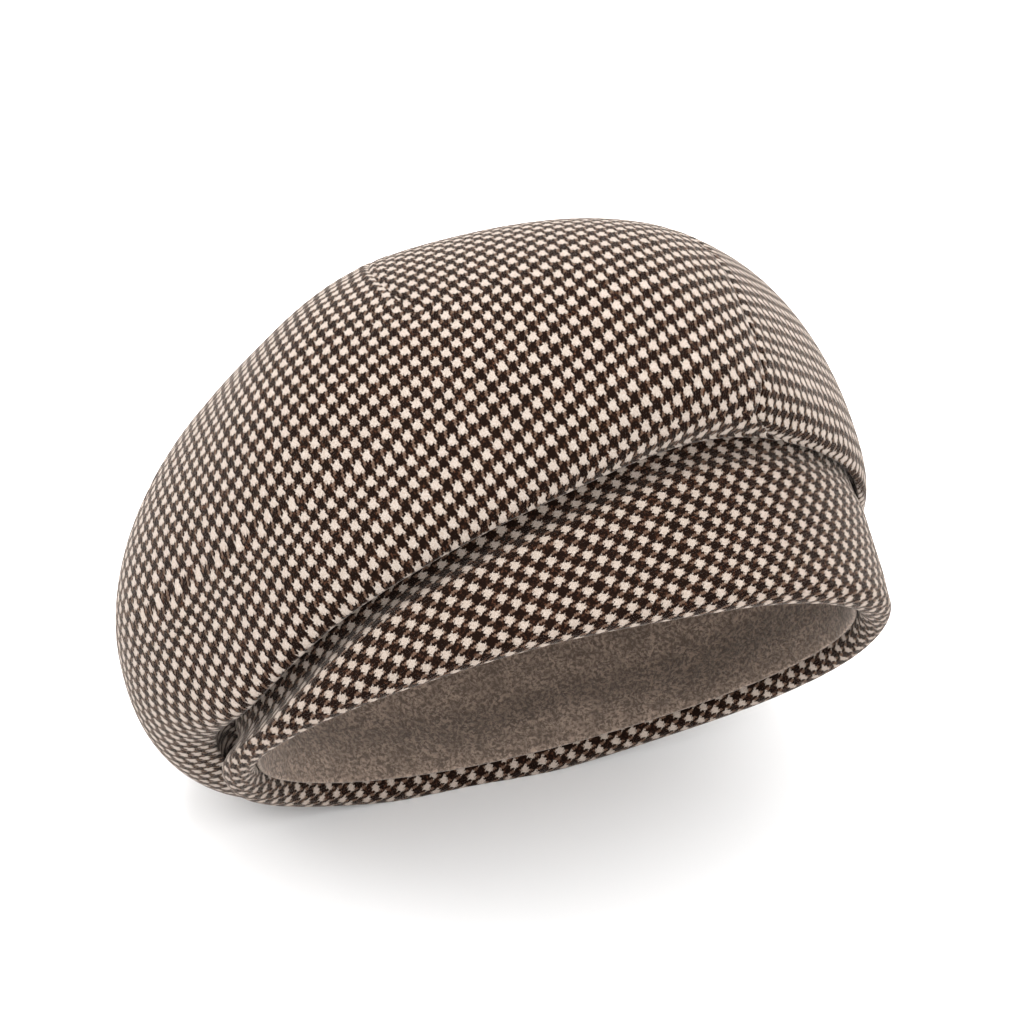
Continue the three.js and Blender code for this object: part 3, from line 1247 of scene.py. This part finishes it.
@dataclass
class Band:
    """The plain band, whose lower edge turns up inside in a soft roll.

    top_fade says how far below its top, in millimetres, the band starts to be uneven and is fully so.
    """

    name: str
    node: str
    grain: Grain
    finish: HoundstoothWool
    form: HatForm = field(default_factory=HatForm)
    columns: int = 720
    wall_rows: int = 62
    roll_rows: int = 22
    hem_rows: int = 20
    hem_height: float = 26.0
    join_azimuth: float = 100.0
    middle_azimuth: float = 265.0
    top_fade: tuple[float, float] = (2.0, 12.0)
    unevenness: Unevenness = field(default_factory=lambda: Unevenness(0.3, 95.0))

    def build(self) -> bpy.types.Object:
        """Cuts, rolls and dresses the band.

        Returns:
            The piece.
        """
        form = self.form
        azimuth = self.join_azimuth + np.linspace(0, 360, self.columns + 1)
        section = form.section(azimuth[:, None])
        radius = form.roll_radius
        heights = np.linspace(form.band_height, radius, self.wall_rows)
        angle = np.linspace(0, math.pi, self.roll_rows + 1)[1:]
        inner = np.linspace(radius, self.hem_height, self.hem_rows + 1)[1:]
        out = np.concatenate(
            [
                form.band_out(section, heights[None, :]),
                np.broadcast_to(radius * (np.cos(angle) - 1), (len(azimuth), len(angle))),
                -form.band_depth(section, inner[None, :]),
            ],
            1,
        )
        height = np.concatenate([heights, radius * (1 - np.sin(angle)), inner])
        points = form.at_oval(azimuth[:, None], out, np.broadcast_to(height, out.shape))
        hem_start = -radius * math.pi + 2 * radius
        down = np.concatenate([heights, -radius * angle + radius, hem_start - inner])
        girth = np.linalg.norm(np.diff(form.at_oval(azimuth, 0.0, 0.0), axis=0), axis=1)
        around = np.concatenate([[0], girth.cumsum()])
        around -= np.interp(self.middle_azimuth, azimuth, around)
        flat = np.stack(np.broadcast_arrays(around[:, None], down[None, :]), -1)
        normal = grid_normals(points)
        normal[0] = normal[-1] = (normal[1] + normal[-2]) / 2
        lift = self.unevenness.rise(points) * smooth_step(heights[0] - height, *self.top_fade)
        face = points + normal * lift[..., None]
        face[-1] = face[0]
        cloth = ClothMesh(self.name)
        cloth.add_grid(cloth.add_points(form.lay(face)), self.grain.rule(flat))
        piece = cloth.build()
        piece.data.materials.append(self.finish.dye())
        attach(piece, BODY)
        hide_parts(self.node)
        return piece


@dataclass
class Lining:
    """The felt lining, which hangs clear of the crown and stops short of the roll.

    edge_turn has an (out, up) stop for each row of the turned edge, the last through the whole
    thickness. lift stands the felt off its backing by so many times its unevenness.
    """

    name: str
    node: str
    finish: WoolFelt
    form: HatForm = field(default_factory=HatForm)
    drop: float = 5.0
    fullness: float = 2.0
    thickness: float = 1.5
    edge_height: float = 6.0
    edge_fade: float = 14.0
    edge_turn: tuple[tuple[float, float], ...] = ((0.35, -0.5), (0.9, -0.5), (1.3, 0.4))
    columns: int = 400
    dome_rows: int = 80
    wall_rows: int = 36
    still_rows: float = 6.0
    lift: float = 1.2
    unevenness: Unevenness = field(default_factory=lambda: Unevenness(0.9, 90.0))

    def build(self) -> bpy.types.Object:
        """Shapes and dresses the lining.

        Returns:
            The piece.
        """
        form = self.form
        azimuth = np.linspace(0, 360, self.columns, endpoint=False)
        section = form.section(azimuth[:, None])
        inset = form.clearance + self.thickness
        base_out = -form.band_depth(form.section(azimuth), form.band_height) - inset
        base = form.at_oval(azimuth, base_out, form.band_height)[:, None, :]
        apex = np.array(form.apex) - np.array([0, 0, self.drop + self.thickness])
        angle = QUARTER * np.linspace(1, 0, self.dome_rows)[None, :]
        across = np.cos(angle) ** (2 / self.fullness)
        across[:, 0] = 0
        up = np.sin(angle) ** (2 / self.fullness)
        dome = blend(apex, base, np.stack([across, across, 1 - up], -1))
        heights = np.linspace(form.band_height, self.edge_height, self.wall_rows + 1)[1:]
        out = -form.band_depth(section, heights[None, :]) - inset
        wall = form.at_oval(azimuth[:, None], out, np.broadcast_to(heights, out.shape))
        turn_out, turn_up = np.array(self.edge_turn).T
        edge_out = out[:, -1:] + turn_out * self.thickness / turn_out[-1]
        edge_height = np.broadcast_to(self.edge_height + turn_up, edge_out.shape)
        edge = form.at_oval(azimuth[:, None], edge_out, edge_height)
        points = np.concatenate([dome, wall, edge], 1)
        wrapped = np.concatenate([points[-1:], points, points[:1]])
        inward = -grid_normals(wrapped)[1:-1]
        fade = smooth_step(points[..., 2], self.edge_height, self.edge_height + self.edge_fade)
        lift = (self.unevenness.rise(points) + self.lift * self.unevenness.height) * fade
        lift *= smooth_step(np.arange(points.shape[1]), 0.0, self.still_rows)
        face = form.lay(points + inward * lift[..., None], form.cloth)
        felt = ClothMesh(self.name)
        index = felt.add_points(face)
        index[:, 0] = index[0, 0]
        index = np.concatenate([index, index[:1]])
        felt.add_grid(index[::-1])
        piece = felt.build()
        piece.data.materials.append(self.finish.dye())
        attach(piece, BODY)
        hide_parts(self.node)
        return piece


# --- the studio ----------------------------------------------------------------------------------


WHITE = (1.0, 1.0, 1.0, 1.0)


@dataclass(frozen=True)
class Softbox:
    """One soft light, aimed at a point on the hat."""

    name: str
    place: tuple[float, float, float]
    width: float
    power: float
    colour: Colour = (1.0, 1.0, 1.0)
    target: tuple[float, float, float] = (0.0, 0.0, 0.08)

    def hang(self) -> bpy.types.Object:
        """Hangs the light.

        Returns:
            The light's object.
        """
        lamp = bpy.data.lights.new(self.name, "AREA")
        lamp.shape = "DISK"
        lamp.size, lamp.energy, lamp.color = self.width, self.power, self.colour
        light = bpy.data.objects.new(self.name, lamp)
        bpy.context.scene.collection.objects.link(light)
        light.location = self.place
        direction = Vector(self.target) - Vector(self.place)
        light.rotation_euler = direction.to_track_quat("-Z", "Y").to_euler()
        return light


@dataclass
class Studio:
    """A pale table under soft light, and the camera."""

    table_size: float = 8.0
    table_drop: float = 0.0002
    table_colour: Colour = (0.9, 0.9, 0.9)
    table_roughness: float = 0.9
    table_specular: float = 0.1
    table_glow: float = 0.04
    surround: float = 1.75
    front_gain: float = 0.25
    camera_place: tuple[float, float, float] = (0.0042, -0.7615, 0.5411)
    camera_pitch: float = 60.0
    lens: float = 92.1
    sensor_width: float = 36.0
    lights: tuple[Softbox, ...] = (
        Softbox("key_light", (-0.15, 0.3, 1.5), 1.2, 26.0),
        Softbox("right_light", (1.2, -0.5, 0.6), 0.6, 4.5),
        Softbox("left_light", (-1.3, 0.25, 0.6), 0.6, 3.0),
    )

    def set_table(self) -> None:
        """Lays the table under the hat."""
        half = self.table_size / 2
        mesh = bpy.data.meshes.new("table")
        corners = [(-half, -half), (half, -half), (half, half), (-half, half)]
        mesh.from_pydata([(x, y, -self.table_drop) for x, y in corners], [], [(0, 1, 2, 3)])
        table = bpy.data.objects.new("table", mesh)
        bpy.context.scene.collection.objects.link(table)
        material = bpy.data.materials.new("pale_table")
        material.use_nodes = True
        shader = material.node_tree.nodes["Principled BSDF"]
        shader.inputs["Base Color"].default_value = (*self.table_colour, 1.0)
        shader.inputs["Roughness"].default_value = self.table_roughness
        shader.inputs["Specular IOR Level"].default_value = self.table_specular
        shader.inputs["Emission Color"].default_value = WHITE
        shader.inputs["Emission Strength"].default_value = self.table_glow
        mesh.materials.append(material)

    def set_light(self) -> None:
        """Hangs the lights and gives the room a pale surround, a little dimmer behind the hat."""
        world = bpy.data.worlds.new("studio")
        world.use_nodes = True
        background = world.node_tree.nodes["Background"]
        background.inputs["Color"].default_value = WHITE
        tree = world.node_tree
        direction = tree.nodes.new("ShaderNodeTexCoord").outputs["Generated"]
        split = tree.nodes.new("ShaderNodeSeparateXYZ")
        tree.links.new(direction, split.inputs[0])
        strength = tree.nodes.new("ShaderNodeMath")
        strength.operation = "MULTIPLY_ADD"
        tree.links.new(split.outputs[1], strength.inputs[0])
        strength.inputs[1].default_value = -self.front_gain
        strength.inputs[2].default_value = self.surround
        tree.links.new(strength.outputs[0], background.inputs["Strength"])
        bpy.context.scene.world = world
        for light in self.lights:
            light.hang()
        bpy.context.scene.view_settings.view_transform = "Standard"

    def set_camera(self) -> None:
        """Stands the camera in front of the opening, a little above it."""
        camera = bpy.data.cameras.new("camera")
        camera.lens, camera.sensor_width = self.lens, self.sensor_width
        stand = bpy.data.objects.new("camera", camera)
        stand.location = self.camera_place
        stand.rotation_euler = (math.radians(self.camera_pitch), 0.0, 0.0)
        bpy.context.scene.collection.objects.link(stand)
        bpy.context.scene.camera = stand


# --- the build -----------------------------------------------------------------------------------


def crown_back() -> CrownHalf:
    """The half of the crown round the back and the upper side."""
    return CrownHalf(
        name="crown_back_wool",
        node="crown_back",
        lines=(
            BACK_SEAM,
            Line.straight(190.0),
            Line(((0.0, 246.0), (0.38, 246.0), (0.72, 259.0), (1.0, 256.0), (2.0, 252.0))),
            FRONT_SEAM,
        ),
        middle_azimuth=265.0,
        grain=Grain(60.0, 5.6, -23.5, 4.3),
        finish=HoundstoothWool("crown_back_houndstooth"),
    )


def crown_front() -> CrownHalf:
    """The half of the crown round the front and the side that it lies on."""
    return CrownHalf(
        name="crown_front_wool",
        node="crown_front",
        lines=(
            FRONT_SEAM,
            Line.straight(370.0),
            Line.straight(430.0),
            Line.straight(490.0),
        ),
        middle_azimuth=380.0,
        grain=Grain(95.0, 5.0, -17.0, 3.7),
        finish=HoundstoothWool("crown_front_houndstooth"),
    )


def plain_band() -> Band:
    """The band, whose check runs on the bias."""
    return Band(
        name="band_wool",
        node="band",
        grain=Grain(55.3, 5.4, -36.4, 4.6),
        finish=HoundstoothWool(
            "band_houndstooth",
            light=(0.45, 0.39, 0.345),
            twill=-1.0,
            start=2.0,
            dark_spread=0.32,
        ),
    )


def main() -> None:
    """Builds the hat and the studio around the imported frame."""
    logging.basicConfig(level=logging.INFO, format="%(name)s: %(message)s")
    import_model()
    lining = Lining(name="lining_felt", node="lining", finish=WoolFelt("taupe_felt"))
    for part in (crown_back(), crown_front(), plain_band(), lining):
        piece = part.build()
        log.info("%s: %d faces", piece.name, len(piece.data.polygons))
    studio = Studio()
    studio.set_table()
    studio.set_light()
    studio.set_camera()


if __name__ == "__main__":
    main()
